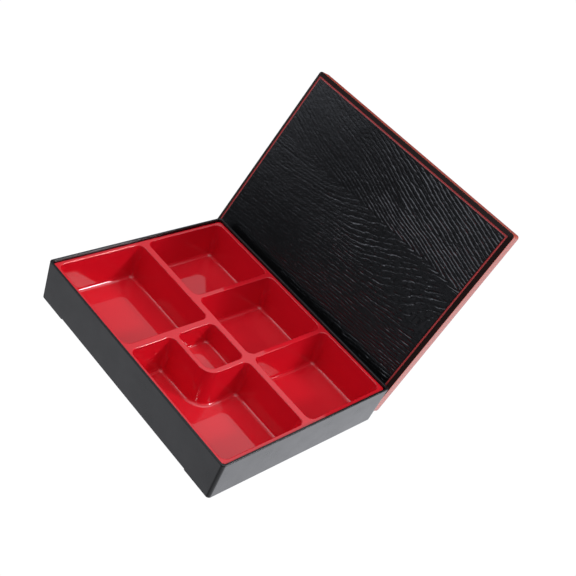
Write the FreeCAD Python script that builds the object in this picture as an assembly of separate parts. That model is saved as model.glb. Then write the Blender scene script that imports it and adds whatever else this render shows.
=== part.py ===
import FreeCAD, Part
import math
import os

# Bento box of lacquered plastic: a shallow outer box, a lift-out tray moulded with
# six compartments, and a covering lid that stands behind the box, leaning back.
# Millimetres. +X along the long side, -Y towards the front, +Z up. The origin is the
# middle of the outer box's base, on the surface that the box stands on.

V = FreeCAD.Vector

# ---- outer box -------------------------------------------------------------
BOX_L = 270.0            # outside length at the rim
BOX_W = 217.0            # outside width at the rim
BOX_H = 45.4             # height, foot to rim
BOX_DRAFT = 1.5          # each side is this much further in at the foot
BOX_WALL = 2.4           # wall thickness
BOX_CORNER_R = 3.5       # outside radius of the upright corners
BOX_INNER_R = 3.0        # the same corners, inside
BOX_RIM_R = 0.8          # rounding of the rim's two edges
BOX_FLOOR_TOP = 4.3      # inside floor above the table
BOX_FLOOR_R = 2.0        # fillet between the inside floor and the walls
FOOT_H = 1.4             # height of the foot rim
FOOT_RIM = 5.5           # width of the foot rim
FOOT_EDGE_R = 0.35       # rounding of the outer foot edge
RELIEF_HALF = 99.0       # the foot is relieved along the long sides, this far each way
RELIEF_DEPTH = 3.2       # how far in the relief goes

# ---- lift-out tray ---------------------------------------------------------
TRAY_GAP = 0.6           # play between the tray's flange and the box wall
TRAY_DROP = 2.8          # flange below the rim
TRAY_FLANGE = 2.4        # flange thickness
TRAY_WALL = 1.9          # compartment wall and floor thickness
TRAY_CORNER_R = 3.4      # outside corners of the flange
TRAY_EDGE_R = 0.9        # rounding of the compartments' top edges
TRAY_OUTER_R = 0.5       # rounding of the flange's outer edge
OPEN_X = 128.3           # half length of the field of compartments
OPEN_Y = 102.0           # half width of the field of compartments
ROW_RIB = 7.0            # flange between the back row and the front row
SIDE_RIB = 7.0           # flange to the right of the large front compartment
THIN_RIB = 5.0           # flanges between the other compartments
BACK_MID_HALF = 40.5     # half length of the middle compartment of the back row
FRONT_LARGE_X = -15.9    # right edge of the large front compartment
SMALL_Y = -48.1          # front edge of the small compartment
DEEP = 36.0              # depth of the deep compartments below the flange
SHALLOW = 21.0           # depth of the small compartment
DEEP_INSET = 6.4         # how far in a deep wall's foot is from its top
SHALLOW_INSET = 3.0
OPEN_R = 7.0             # upright corners, at the flange
FLOOR_CORNER_R = 5.0     # upright corners, at the floor
SMALL_R_IN = 9.0         # the small compartment's rounded free corner, inside
SMALL_R_OUT = 14.0       # the same corner, on the side of the L-shaped compartment
FLOOR_R = 4.0            # fillet between floor and walls
SMALL_FLOOR_R = 3.0

# ---- lid -------------------------------------------------------------------
LID_L = 277.9            # outside length of the skirt
LID_W = 224.9            # outside width of the skirt
LID_SKIRT = 13.6         # depth of the skirt behind the outer front edge
LID_BEVEL = 5.3          # width of the bevelled border, to the middle of the line
LID_RISE = 2.55          # the panel stands this far in front of the outer edge
LID_CORNER_R = 3.0       # outside corners
LID_EDGE_R = 0.7         # rounding of the outer edges
LID_PLAY = 0.65          # play between the skirt and the box, each side
LID_UNDER = 0.2          # underside of the top plate, in front of the outer edge
LID_INNER_R = 4.1        # inside corners of the skirt
LINE_W = 1.75            # painted line round the panel, in a shallow groove
LINE_DEPTH = 0.35
LINE_LAND = 0.4          # narrow land between the bevel and the line
LID_LEAN = 21.74         # degrees back from upright
LID_X = -8.94            # the lid stands a little to the left of the box
LID_FRONT_Y = 108.6      # its lower outer front edge, behind the back wall


def corner_wire(pts, z):
    """Closed wire at height z through the corners (x, y, radius), given in order."""
    n = len(pts)
    ends = []
    for i in range(n):
        x0, y0, _ = pts[i - 1]
        x1, y1, r = pts[i]
        x2, y2, _ = pts[(i + 1) % n]
        a = V(x0 - x1, y0 - y1, 0)
        b = V(x2 - x1, y2 - y1, 0)
        a.normalize()
        b.normalize()
        p = V(x1, y1, z)
        t1 = p + a * r
        t2 = p + b * r
        mid = p + (a + b) * (r * (1.0 - math.sqrt(0.5)))
        ends.append((t1, mid, t2))
    edges = []
    for i in range(n):
        t1, mid, t2 = ends[i]
        edges.append(Part.Arc(t1, mid, t2).toShape())
        edges.append(Part.LineSegment(t2, ends[(i + 1) % n][0]).toShape())
    return Part.Wire(edges)


def rect(x0, x1, y0, y1, r):
    """Corners of a rounded rectangle, anticlockwise from low x, low y."""
    rr = r if isinstance(r, (list, tuple)) else [r] * 4
    return [(x0, y0, rr[0]), (x1, y0, rr[1]), (x1, y1, rr[2]), (x0, y1, rr[3])]


def loft(low, z_low, high, z_high):
    return Part.makeLoft([corner_wire(low, z_low), corner_wire(high, z_high)], True, True)


def edges_at(shape, z, tol=1e-3):
    """Edges that lie whole in the plane at height z."""
    return [e for e in shape.Edges
            if abs(e.BoundBox.ZMin - z) < tol and abs(e.BoundBox.ZMax - z) < tol]


# ---- outer box -------------------------------------------------------------
def make_box():
    hx, hy = BOX_L / 2, BOX_W / 2
    top = rect(-hx, hx, -hy, hy, BOX_CORNER_R)
    foot = rect(-hx + BOX_DRAFT, hx - BOX_DRAFT, -hy + BOX_DRAFT, hy - BOX_DRAFT, BOX_CORNER_R)
    outer = loft(foot, 0.0, top, BOX_H)
    outer = outer.makeFillet(FOOT_EDGE_R, edges_at(outer, 0.0))
    # hollow, with the walls' draft carried on inside
    k = BOX_FLOOR_TOP / BOX_H
    ix, iy = hx - BOX_WALL, hy - BOX_WALL
    d = BOX_DRAFT * (1 - k)
    r = BOX_INNER_R
    hollow = loft(rect(-ix + d, ix - d, -iy + d, iy - d, r), BOX_FLOOR_TOP,
                  rect(-ix, ix, -iy, iy, r), BOX_H)
    hollow = hollow.makeFillet(BOX_FLOOR_R, edges_at(hollow, BOX_FLOOR_TOP))
    box = outer.cut(hollow)
    # the underside is hollowed inside a foot rim
    fx, fy = hx - BOX_DRAFT - FOOT_RIM, hy - BOX_DRAFT - FOOT_RIM
    under = Part.Face(corner_wire(rect(-fx, fx, -fy, fy, 3.0), -1.0)).extrude(V(0, 0, 1.0 + FOOT_H))
    box = box.cut(under)
    # relief in the outer part of the foot, along the middle of both long sides
    for s in (-1, 1):
        y_out = s * (hy + 5.0)
        y_in = s * (hy - BOX_DRAFT - RELIEF_DEPTH)
        cut = Part.makeBox(2 * RELIEF_HALF, abs(y_out - y_in), FOOT_H + 1.0,
                           V(-RELIEF_HALF, min(y_out, y_in), -1.0))
        box = box.cut(cut)
    box = box.makeFillet(BOX_RIM_R, edges_at(box, BOX_H))
    return box.removeSplitter()


# ---- tray ------------------------------------------------------------------
FLANGE_Z = BOX_H - TRAY_DROP


def grow(pts, by):
    """Move the sides of an axis-parallel outline outwards by `by` (inwards if negative)."""
    n = len(pts)
    out = []
    for i in range(n):
        x0, y0, _ = pts[i - 1]
        x1, y1, r = pts[i]
        x2, y2, _ = pts[(i + 1) % n]
        ax, ay = x1 - x0, y1 - y0
        bx, by_ = x2 - x1, y2 - y1
        la, lb = math.hypot(ax, ay), math.hypot(bx, by_)
        ax, ay, bx, by_ = ax / la, ay / la, bx / lb, by_ / lb
        # outward normals of the two sides, for an anticlockwise outline
        out.append((x1 + by * (ay + by_), y1 - by * (ax + bx), r, ax * by_ - ay * bx))
    return out


def outline(pts, by, r_convex=None, r_reflex_add=0.0):
    res = []
    for (x, y, r, turn) in grow(pts, by):
        if turn > 0:
            res.append((x, y, r if r_convex is None else min(r, r_convex)))
        else:
            res.append((x, y, r + r_reflex_add))
    return res


def compartments():
    rib = ROW_RIB / 2
    bx = BACK_MID_HALF + THIN_RIB
    fl = FRONT_LARGE_X
    fr = FRONT_LARGE_X + SIDE_RIB
    sx = BACK_MID_HALF                      # the small compartment's right edge
    wx = BACK_MID_HALF + THIN_RIB           # and the L-shaped one's edge beside it
    wy = SMALL_Y - THIN_RIB
    deep = dict(depth=DEEP, inset=DEEP_INSET, fillet=FLOOR_R)
    shallow = dict(depth=SHALLOW, inset=SHALLOW_INSET, fillet=SMALL_FLOOR_R)
    return [
        ("back_left", rect(-OPEN_X, -bx, rib, OPEN_Y, OPEN_R), deep),
        ("back_middle", rect(-BACK_MID_HALF, BACK_MID_HALF, rib, OPEN_Y, OPEN_R), deep),
        ("back_right", rect(bx, OPEN_X, rib, OPEN_Y, OPEN_R), deep),
        ("front_large", rect(-OPEN_X, fl, -OPEN_Y, -rib, OPEN_R), deep),
        ("front_small", rect(fr, sx, SMALL_Y, -rib, [OPEN_R, SMALL_R_IN, OPEN_R, OPEN_R]), shallow),
        ("front_angled", [(fr, -OPEN_Y, OPEN_R), (OPEN_X, -OPEN_Y, OPEN_R), (OPEN_X, -rib, OPEN_R),
                          (wx, -rib, OPEN_R), (wx, wy, SMALL_R_OUT), (fr, wy, OPEN_R)], deep),
    ]


def cavity(pts, depth, inset, fillet):
    low = outline(pts, -inset, FLOOR_CORNER_R, inset * 0.5)
    solid = loft(low, FLANGE_Z - depth, pts, FLANGE_Z)
    return solid.makeFillet(fillet, edges_at(solid, FLANGE_Z - depth))


def shell_outer(pts, depth, inset, fillet):
    t = TRAY_WALL
    top = [(x, y, r + t if turn > 0 else r - t) for (x, y, r, turn) in grow(pts, t)]
    low_in = outline(pts, -inset, FLOOR_CORNER_R, inset * 0.5)
    low = [(x, y, r + t if turn > 0 else r - t) for (x, y, r, turn) in grow(low_in, t)]
    solid = loft(low, FLANGE_Z - depth - t, top, FLANGE_Z - 0.4)
    return solid.makeFillet(fillet + 1.0, edges_at(solid, FLANGE_Z - depth - t))


def make_tray():
    tx = BOX_L / 2 - BOX_WALL - TRAY_GAP
    ty = BOX_W / 2 - BOX_WALL - TRAY_GAP
    plate = Part.Face(corner_wire(rect(-tx, tx, -ty, ty, TRAY_CORNER_R), FLANGE_Z - TRAY_FLANGE))
    tray = plate.extrude(V(0, 0, TRAY_FLANGE))
    tray = tray.makeFillet(TRAY_OUTER_R, edges_at(tray, FLANGE_Z))
    parts = compartments()
    tray = tray.fuse([shell_outer(p, **k) for _, p, k in parts])
    for _, p, k in parts:
        c = cavity(p, **k)
        # the cutter runs a little past the flange
        cap = Part.Face(corner_wire(p, FLANGE_Z)).extrude(V(0, 0, 2.0))
        tray = tray.cut(c).cut(cap)
    tray = tray.removeSplitter()
    flat = [f for f in tray.Faces if abs(f.BoundBox.ZMin - FLANGE_Z) < 1e-3]
    rims = []
    for f in flat:
        for w in f.Wires:
            if not w.isSame(f.OuterWire):
                rims.extend(w.Edges)
    tray = tray.makeFillet(TRAY_EDGE_R, rims)
    return tray


# ---- lid -------------------------------------------------------------------
def make_lid_flat():
    """The lid lying face up: y from its lower edge, z in front of its outer edge."""
    hx = LID_L / 2
    b, h = LID_BEVEL, LID_RISE
    o = rect(-hx, hx, 0.0, LID_W, LID_CORNER_R)
    skirt = Part.Face(corner_wire(o, -LID_SKIRT)).extrude(V(0, 0, LID_SKIRT))
    skirt = skirt.makeFillet(LID_EDGE_R, edges_at(skirt, -LID_SKIRT))
    e = b - LINE_W / 2
    t = e - LINE_LAND
    crown = loft(o, 0.0, rect(-hx + t, hx - t, t, LID_W - t, 1.2), h)
    lid = skirt.fuse(crown).removeSplitter()
    # groove for the painted line, round the panel
    g0 = rect(-hx + e, hx - e, e, LID_W - e, 0.9)
    e1 = e + LINE_W
    g1 = rect(-hx + e1, hx - e1, e1, LID_W - e1, 0.5)
    ring = Part.Face(corner_wire(g0, h - LINE_DEPTH)).extrude(V(0, 0, LINE_DEPTH + 1.0))
    ring = ring.cut(Part.Face(corner_wire(g1, h - LINE_DEPTH - 1.0)).extrude(V(0, 0, LINE_DEPTH + 3.0)))
    lid = lid.cut(ring)
    # underside: the skirt goes over the box's rim
    px = BOX_L / 2 + LID_PLAY
    py = BOX_W / 2 + LID_PLAY
    c = LID_W / 2
    under = Part.Face(corner_wire(rect(-px, px, c - py, c + py, LID_INNER_R), -LID_SKIRT - 1.0))
    under = under.extrude(V(0, 0, LID_SKIRT + 1.0 + LID_UNDER))
    lid = lid.cut(under)
    return lid.removeSplitter()


def make_lid():
    lid = make_lid_flat()
    lid.rotate(V(0, 0, 0), V(1, 0, 0), 90.0 - LID_LEAN)
    lid.translate(V(LID_X, LID_FRONT_Y, 0))
    # it stands on its skirt's lower back edge
    low = lid.optimalBoundingBox(False, False).ZMin
    lid.translate(V(0, 0, -low))
    return lid


PIECES = {
    "outer_box": make_box(),
    "compartment_tray": make_tray(),
    "lid": make_lid(),
}

os.makedirs("parts", exist_ok=True)
for name, shape in PIECES.items():
    solids = shape.Solids
    if len(solids) != 1:
        raise RuntimeError("%s has %d solids" % (name, len(solids)))
    s = solids[0]
    if not s.isValid():
        raise RuntimeError("%s is not a valid solid" % name)
    bb = s.optimalBoundingBox(False, False)
    print("%-18s valid %s volume %.1f cm3  x %.2f..%.2f  y %.2f..%.2f  z %.2f..%.2f" % (
        name, s.isValid(), s.Volume / 1000.0, bb.XMin, bb.XMax, bb.YMin, bb.YMax, bb.ZMin, bb.ZMax))
    s.exportStep("parts/%s.step" % name)
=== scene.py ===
import math

import bpy
import numpy as np
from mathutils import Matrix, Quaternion


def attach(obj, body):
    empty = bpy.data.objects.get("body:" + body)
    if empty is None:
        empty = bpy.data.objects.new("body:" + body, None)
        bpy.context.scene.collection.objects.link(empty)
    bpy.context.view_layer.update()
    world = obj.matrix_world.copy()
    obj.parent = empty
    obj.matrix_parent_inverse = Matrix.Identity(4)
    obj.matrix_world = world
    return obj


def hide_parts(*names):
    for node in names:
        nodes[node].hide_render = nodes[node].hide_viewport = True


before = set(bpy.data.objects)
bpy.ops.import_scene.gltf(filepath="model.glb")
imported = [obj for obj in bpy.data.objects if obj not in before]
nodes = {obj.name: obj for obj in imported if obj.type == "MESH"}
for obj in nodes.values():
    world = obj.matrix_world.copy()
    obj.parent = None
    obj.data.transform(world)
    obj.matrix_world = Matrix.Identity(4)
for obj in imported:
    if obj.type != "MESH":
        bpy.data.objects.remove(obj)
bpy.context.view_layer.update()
scene = bpy.context.scene
MM = 0.001


# ------------------------------------------------------------------ shader helpers
def material(name):
    m = bpy.data.materials.new(name)
    m.use_nodes = True
    nt = m.node_tree
    nt.nodes.clear()
    out = nt.nodes.new("ShaderNodeOutputMaterial")
    bsdf = nt.nodes.new("ShaderNodeBsdfPrincipled")
    nt.links.new(bsdf.outputs[0], out.inputs[0])
    return m, nt, bsdf


def coords(nt, scale=(1, 1, 1), uv=None):
    mp = nt.nodes.new("ShaderNodeMapping")
    mp.inputs["Scale"].default_value = scale
    if uv:
        src = nt.nodes.new("ShaderNodeUVMap")
        src.uv_map = uv
        nt.links.new(src.outputs["UV"], mp.inputs["Vector"])
    else:
        src = nt.nodes.new("ShaderNodeTexCoord")
        nt.links.new(src.outputs["Object"], mp.inputs["Vector"])
    return mp.outputs["Vector"]


def noise(nt, vec, scale, detail=3.0, rough=0.5):
    n = nt.nodes.new("ShaderNodeTexNoise")
    n.inputs["Scale"].default_value = scale
    n.inputs["Detail"].default_value = detail
    n.inputs["Roughness"].default_value = rough
    nt.links.new(vec, n.inputs["Vector"])
    return n.outputs["Fac"]


def remap(nt, value, lo, hi, a=0.0, b=1.0):
    n = nt.nodes.new("ShaderNodeMapRange")
    n.inputs["From Min"].default_value = a
    n.inputs["From Max"].default_value = b
    n.inputs["To Min"].default_value = lo
    n.inputs["To Max"].default_value = hi
    nt.links.new(value, n.inputs["Value"])
    return n.outputs["Result"]


def two_tone(nt, value, c0, c1):
    n = nt.nodes.new("ShaderNodeMix")
    n.data_type = "RGBA"
    n.inputs[6].default_value = (*c0, 1)
    n.inputs[7].default_value = (*c1, 1)
    nt.links.new(value, n.inputs[0])
    return n.outputs[2]


def bump(nt, bsdf, height, strength, distance, under=None):
    n = nt.nodes.new("ShaderNodeBump")
    n.inputs["Strength"].default_value = strength
    n.inputs["Distance"].default_value = distance
    nt.links.new(height, n.inputs["Height"])
    if under is not None:
        nt.links.new(under, n.inputs["Normal"])
    nt.links.new(n.outputs["Normal"], bsdf.inputs["Normal"])
    return n.outputs["Normal"]


def lacquer(name, c0, c1, r0, r1, ior=1.5, tone=20, patch=50, ripple=(25, 0.02, 0.0004), speck=None):
    """A moulded, lacquered plastic: slow colour drift, polish that varies in patches, a faint ripple and, if given, a fine orange peel."""
    m, nt, b = material(name)
    v = coords(nt)
    nt.links.new(two_tone(nt, noise(nt, v, tone, 2), c0, c1), b.inputs["Base Color"])
    nt.links.new(remap(nt, noise(nt, v, patch, 4, 0.6), r0, r1, 0.3, 0.7), b.inputs["Roughness"])
    b.inputs["IOR"].default_value = ior
    n = bump(nt, b, noise(nt, v, ripple[0], 1), ripple[1], ripple[2])
    if speck:
        bump(nt, b, noise(nt, v, speck[0], 2, 0.6), speck[1], speck[2], n)
    return m


RED = lacquer("red_lacquer", (0.535, 0.0050, 0.0128), (0.585, 0.0062, 0.0155), 0.03, 0.065)
BLACK = lacquer("black_satin", (0.0030, 0.0030, 0.0032), (0.0052, 0.0052, 0.0055), 0.20, 0.28, ior=1.38, ripple=(12, 0.02, 0.0004), speck=(1100, 0.06, 0.00012))
INSIDE = lacquer("lid_inside_black", (0.010, 0.010, 0.0105), (0.014, 0.014, 0.015), 0.16, 0.24, speck=(900, 0.05, 0.00012))
VERMILION = lacquer("vermilion_lacquer", (0.36, 0.042, 0.019), (0.42, 0.054, 0.025), 0.14, 0.22, ior=1.42, ripple=(30, 0.03, 0.0004), speck=(800, 0.05, 0.00012))
LINE = lacquer("line_red", (0.30, 0.022, 0.023), (0.38, 0.030, 0.031), 0.30, 0.42, tone=120, patch=160, speck=(1500, 0.15, 0.00015))


def grain_black(name, c0, c1, r0, r1, ior, strength):
    m, nt, b = material(name)
    fine = noise(nt, coords(nt, (2.6, 0.34, 1), "grain"), 1.0, 3, 0.6)
    slow = noise(nt, coords(nt), 22, 2)
    nt.links.new(two_tone(nt, fine, c0, c1), b.inputs["Base Color"])
    nt.links.new(remap(nt, slow, r0, r1, 0.3, 0.7), b.inputs["Roughness"])
    b.inputs["IOR"].default_value = ior
    b.inputs["Specular Tint"].default_value = (0.91, 0.94, 1.0, 1)
    bump(nt, b, fine, strength, 0.00022)
    return m


PANEL = grain_black("grain_lacquer", (0.0030, 0.0030, 0.0032), (0.0046, 0.0046, 0.0049), 0.12, 0.18, 1.5, 0.30)
BEVEL = grain_black("bevel_lacquer", (0.007, 0.0038, 0.0034), (0.019, 0.0095, 0.0082), 0.34, 0.46, 1.2, 0.5)


def paint(obj, *mats):
    obj.data.materials.clear()
    for m in mats:
        obj.data.materials.append(m)


paint(nodes["compartment_tray"], RED)
paint(nodes["outer_box"], BLACK)


# ------------------------------------------------------------------ lid
# Lid coordinates in millimetres: u along the lid, v up it from its lower edge, w out of its grain face.
LID_L, LID_W, SKIRT, RISE = 277.9, 224.9, 13.6, 2.55
LEAN, LID_X, LID_Y = math.radians(21.74), -8.94, 108.6
EDGE_R, WALL, CEIL, INNER_R = 0.7, 3.3, 0.2, 4.1
LID_Z = EDGE_R - (EDGE_R * math.cos(LEAN) - (SKIRT - EDGE_R) * math.sin(LEAN))
PANEL_IN = 6.175
HU, HV = LID_L / 2 - PANEL_IN, LID_W / 2 - PANEL_IN
NU, NV = 242, 640


def lattice(ix, iy, seed):
    h = (ix * 374761393 + iy * 668265263 + seed * 1442695041) & 0xFFFFFFFF
    h = ((h ^ (h >> 13)) * 1274126177) & 0xFFFFFFFF
    return ((h ^ (h >> 16)) & 0xFFFF) / 65535.0 * 2 * math.pi


def gnoise(x, y, seed):
    """Gradient noise, about -1 to 1."""
    x, y = np.broadcast_arrays(np.asarray(x, float), np.asarray(y, float))
    ix, iy = np.floor(x).astype(np.int64), np.floor(y).astype(np.int64)
    fx, fy = x - ix, y - iy
    sx, sy = fx ** 3 * (fx * (fx * 6 - 15) + 10), fy ** 3 * (fy * (fy * 6 - 15) + 10)

    def g(dx, dy):
        a = lattice(ix + dx, iy + dy, seed)
        return np.cos(a) * (fx - dx) + np.sin(a) * (fy - dy)

    top = g(0, 0) * (1 - sx) + g(1, 0) * sx
    bot = g(0, 1) * (1 - sx) + g(1, 1) * sx
    return 1.5 * (top * (1 - sy) + bot * sy)


def ramp(x, a, b):
    t = np.clip((x - a) / (b - a), 0, 1)
    return t * t * (3 - 2 * t)


def grain_side(u, v):
    """Distance above the cathedral's axis, and 0 to 1 from below it to above it."""
    d = v - 150.0 - 2.0 * gnoise(u / 95, 0.3, 11)
    return d, ramp(d, -3, 3)


def grain_field(u, v):
    """Ring count of a flat-sawn board whose cathedral points to +u: near-straight rings above its axis, hooked ones below."""
    d, side = grain_side(u, v)
    s = np.sqrt(d * d + 2.0)
    up = 0.073 * u + 0.30 * s - 0.0005 * s * s
    low = 0.03 * u + 0.66 * np.logaddexp(0, (u + 70 - 2.2 * s) / 12) * (1 - ramp(s, 30, 75)) + 0.28 * s - 3.3
    f = low + (up - low) * side
    f = f + 0.10 * gnoise(u / 10, v / 4.5, 21) * (1 - side)
    return f + 0.45 * gnoise(u / 62, v / 27, 3) + 0.20 * gnoise(u / 24, v / 9, 5) + 0.07 * gnoise(u / 8, v / 3.2, 6)


def grain_relief(u, v):
    f = grain_field(u, v)
    d, side = grain_side(u, v)
    k = np.floor(f)
    x = f - k
    strong = np.clip(0.8 + 0.5 * gnoise(u / 26, k * 3.7 + 0.5, 8), 0.25, 1.25)
    broken = np.clip(0.75 + 0.6 * gnoise(u / 13, k * 3.7 + 0.5, 22), 0.2, 1.3)
    strong = broken + (strong - broken) * side
    lines = np.exp(-(((x - 0.5) / 0.17) ** 2)) * strong
    minor = (0.5 + 0.5 * np.cos(2 * np.pi * x)) ** 8 * np.clip(0.25 + 0.8 * gnoise(u / 14, k * 5.1 + 0.5, 9), 0, 1)
    pores = np.clip(gnoise(u / 4.6, f * 4.4, 13) - 0.12, 0, 1) + 0.7 * np.clip(gnoise(u / 2.4, f * 6.3 + 40, 14) - 0.2, 0, 1)
    low = (0.10 + 0.44 * ramp(u, -70, 40) + 0.14 * ramp(u, 60, 115)) * (0.62 + 0.38 * ramp(v, 60, 135)) * (0.4 + 0.6 * ramp(-d, 1, 14))
    clear = (0.12 + 0.70 * ramp(u, -80, 50) + 0.16 * ramp(u, 50, 115)) * side + low * (1 - side)
    h = -(0.42 * lines + 0.14 * minor) * clear - 0.32 * pores * (0.12 + 0.88 * clear) * (1.4 - 0.4 * side) + 0.03 * gnoise(u / 30, f * 1.3, 15)
    edge = np.minimum(HU - np.abs(u), HV - np.abs(v - LID_W / 2))
    return h * ramp(edge, 0.0, 1.6)


def loop(inset, w, radius):
    """One closed ring of points around the lid, in the order of the panel's border: bottom, right, top, left."""
    hu, hv = LID_L / 2 - inset, LID_W / 2 - inset
    r = max(radius, 0.02)
    arc = 5
    pts = []
    for (cu, cv, start, n, du, dv, length) in (
        (-hu, -hv, 180, NU, 1, 0, 2 * hu), (hu, -hv, 270, NV, 0, 1, 2 * hv), (hu, hv, 0, NU, -1, 0, 2 * hu), (-hu, hv, 90, NV, 0, -1, 2 * hv)):
        for i in range(n):
            if i <= arc:
                a = math.radians(start + 45 + 45 * i / arc)
                ox, oy = (math.copysign(hu - r, cu), math.copysign(hv - r, cv))
                pts.append((ox + r * math.cos(a), oy + r * math.sin(a)))
            elif i >= n - arc:
                a = math.radians(start + 90 + 45 * (i - (n - arc)) / arc)
                eu, ev = cu + du * length, cv + dv * length
                ox, oy = (math.copysign(hu - r, eu), math.copysign(hv - r, ev))
                pts.append((ox + r * math.cos(a), oy + r * math.sin(a)))
            else:
                s = r + (length - 2 * r) * (i - arc) / (n - 2 * arc)
                pts.append((cu + du * s, cv + dv * s))
    p = np.array(pts)
    return np.c_[p[:, 0], p[:, 1] + LID_W / 2, np.full(len(p), w)]


def build_lid():
    us, vs = np.linspace(-HU, HU, NU + 1), LID_W / 2 + np.linspace(-HV, HV, NV + 1)
    U, V = np.meshgrid(us, vs)
    W = RISE + grain_relief(U, V)
    verts = [np.c_[U.ravel(), V.ravel(), W.ravel()]]
    idx = np.arange(U.size).reshape(U.shape)
    faces = [np.stack([idx[:-1, :-1], idx[:-1, 1:], idx[1:, 1:], idx[1:, :-1]], -1).reshape(-1, 4)]
    mats = [np.zeros(len(faces[0]), int)]
    border = np.concatenate([idx[0, :-1], idx[:-1, -1], idx[-1, :0:-1], idx[:0:-1, 0]])

    rings = [
        # inset, w, corner radius, material of the band that ends here
        (6.145, 2.22, 0.05, 1), (6.06, 2.19, 0.08, 1), (4.54, 2.19, 0.3, 1), (4.455, 2.22, 0.35, 1),
        (4.42, 2.52, 0.4, 1), (4.36, 2.55, 0.45, 2), (4.22, 2.55, 0.6, 2), (4.08, 2.53, 0.8, 2), (3.94, 2.47, 0.9, 2),
        (2.10, 1.33, 1.9, 2), (0.30, 0.19, 2.8, 2), (0.10, 0.03, 2.95, 2),
        (0.02, -0.12, 3.0, 3), (0.0, -0.32, 3.0, 3), (0.0, -4.0, 3.0, 3), (0.0, -8.5, 3.0, 3), (0.0, -(SKIRT - EDGE_R), 3.0, 3)]
    for k in (22.5, 45, 67.5, 90):
        a = math.radians(k)
        rings.append((EDGE_R * (1 - math.cos(a)), -(SKIRT - EDGE_R) - EDGE_R * math.sin(a), 3.0, 3))
    rings += [(2.8, -SKIRT, 3.7, 3), (3.15, -SKIRT + 0.12, 3.95, 3), (WALL, -SKIRT + 0.45, INNER_R, 3), (WALL, -SKIRT + 0.75, INNER_R, 4), (WALL, -7.0, INNER_R, 4), (WALL, CEIL - 1.6, INNER_R, 4)]
    for k in (22.5, 45, 67.5, 90):
        a = math.radians(k)
        rings.append((WALL + 1.6 * (1 - math.cos(a)), CEIL - 1.6 * (1 - math.sin(a)), INNER_R - 1.6 * (1 - math.cos(a)), 4))
    prev = border
    base = U.size
    for inset, w, r, mat in rings:
        p = loop(inset, w, r)
        now = np.arange(len(p)) + base
        base += len(p)
        verts.append(p)
        a, b = prev, now
        faces.append(np.stack([a, b, np.roll(b, -1), np.roll(a, -1)], -1))
        mats.append(np.full(len(p), mat))
        prev = now
    P = np.concatenate(verts)
    faces = np.concatenate(faces).tolist() + [prev.tolist()]
    mats = np.concatenate(mats).tolist() + [4]

    f = grain_field(P[:, 0], P[:, 1]) * 4.0
    co = np.empty_like(P)
    co[:, 0] = LID_X + P[:, 0]
    co[:, 1] = LID_Y + P[:, 1] * math.sin(LEAN) - P[:, 2] * math.cos(LEAN)
    co[:, 2] = LID_Z + P[:, 1] * math.cos(LEAN) + P[:, 2] * math.sin(LEAN)
    me = bpy.data.meshes.new("lid_shell")
    me.from_pydata((co * MM).tolist(), [], faces)
    me.polygons.foreach_set("material_index", mats)
    me.polygons.foreach_set("use_smooth", [True] * len(faces))
    uv = me.uv_layers.new(name="grain")
    vi = np.empty(len(me.loops), np.int32)
    me.loops.foreach_get("vertex_index", vi)
    uv.data.foreach_set("uv", np.c_[f[vi], P[vi, 0]].astype(np.float32).ravel())
    me.update()
    ob = bpy.data.objects.new("lid_shell", me)
    scene.collection.objects.link(ob)
    for m in (PANEL, LINE, BEVEL, VERMILION, INSIDE):
        me.materials.append(m)
    me.polygons[len(faces) - 1].use_smooth = False
    return ob


lid = build_lid()
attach(lid, "lid")
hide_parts("lid")

# ------------------------------------------------------------------ floor
mesh = bpy.data.meshes.new("floor")
S = 6.0
mesh.from_pydata([(-S, -S, 0), (S, -S, 0), (S, S, 0), (-S, S, 0)], [], [(0, 1, 2, 3)])
floor = bpy.data.objects.new("floor", mesh)
floor.location = (0, 0, -0.0003)
scene.collection.objects.link(floor)
m, nt, b = material("floor_white")
b.inputs["Base Color"].default_value = (0.0, 0.0, 0.0, 1)
b.inputs["Roughness"].default_value = 0.9
b.inputs["Specular IOR Level"].default_value = 0.0


def math_node(nt, op, *args):
    n = nt.nodes.new("ShaderNodeMath")
    n.operation = op
    for socket, x in zip(n.inputs, args):
        if isinstance(x, (int, float)):
            socket.default_value = x
        else:
            nt.links.new(x, socket)
    return n.outputs[0]


b.inputs["Emission Color"].default_value = (1.0, 1.0, 1.01, 1)
b.inputs["Emission Strength"].default_value = 1.02
floor.data.materials.append(m)
floor.visible_glossy = False  # the gloss mirrors the lights below instead

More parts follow.
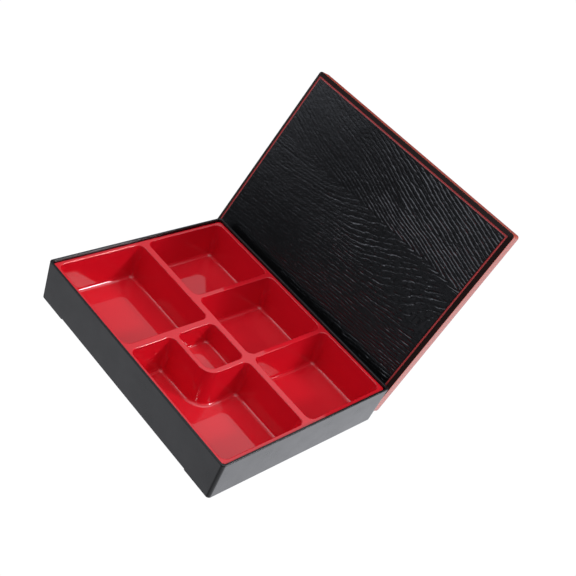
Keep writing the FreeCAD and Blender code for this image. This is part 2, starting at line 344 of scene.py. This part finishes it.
# ------------------------------------------------------------------ light
# Soft lights far off: degrees from +Y towards +X, degrees up, sharpness, strength.
LIGHTS = (
    (49, 34, 500, 85.0), (54, 28, 90, 10.0), (80, 45, 10, 0.85), (325, 42, 90, 0.34), (197, 36, 90, 3.3), (216, 36, 90, 3.3), (214, 53, 60, 2.2),
    (220, 16, 190, 5.6), (195, 7, 80, 0.38), (45, 6, 16, 0.67), (270, 6, 16, 1.05), (157.5, 33, 16, 0.28), (247.5, 33, 16, 0.4),
    (337.5, 33, 16, 0.70), (0, 62, 16, 2.4), (144, 62, 16, 1.3), (0, 90, 16, 1.5),
    (36, -41, 6, 1.7), (215, -42, 14, 1.12), (125, -45, 8, 0.8))
world = bpy.data.worlds.new("studio")
scene.world = world
world.use_nodes = True
wt = world.node_tree
wt.nodes.clear()
wo = wt.nodes.new("ShaderNodeOutputWorld")
bg = wt.nodes.new("ShaderNodeBackground")
wt.links.new(bg.outputs[0], wo.inputs[0])
bg.inputs["Color"].default_value = (0.985, 1.0, 1.06, 1)
sky = wt.nodes.new("ShaderNodeTexCoord").outputs["Generated"]
total = None
for az, el, sharp, strength in LIGHTS:
    az, el = math.radians(az), math.radians(el)
    dot = wt.nodes.new("ShaderNodeVectorMath")
    dot.operation = "DOT_PRODUCT"
    wt.links.new(sky, dot.inputs[0])
    dot.inputs[1].default_value = (math.cos(el) * math.sin(az), math.cos(el) * math.cos(az), math.sin(el))
    glow = math_node(wt, "EXPONENT", math_node(wt, "MULTIPLY_ADD", dot.outputs["Value"], sharp, math.log(strength) - sharp))
    total = glow if total is None else math_node(wt, "ADD", total, glow)
wt.links.new(total, bg.inputs["Strength"])

# ------------------------------------------------------------------ camera
cd = bpy.data.cameras.new("camera")
cam = bpy.data.objects.new("camera", cd)
scene.collection.objects.link(cam)
cd.sensor_fit = "HORIZONTAL"
cd.sensor_width = 36.0
cd.lens = 63.08985
cd.clip_start, cd.clip_end = 0.01, 50.0
cam.location = (0.431507, -0.597850, 0.663869)
cam.rotation_mode = "QUATERNION"
cam.rotation_quaternion = Quaternion((0.7840042, 0.4486161, 0.0307343, 0.4279444))
scene.camera = cam
scene.view_settings.view_transform = "Standard"
scene.view_settings.look = "None"
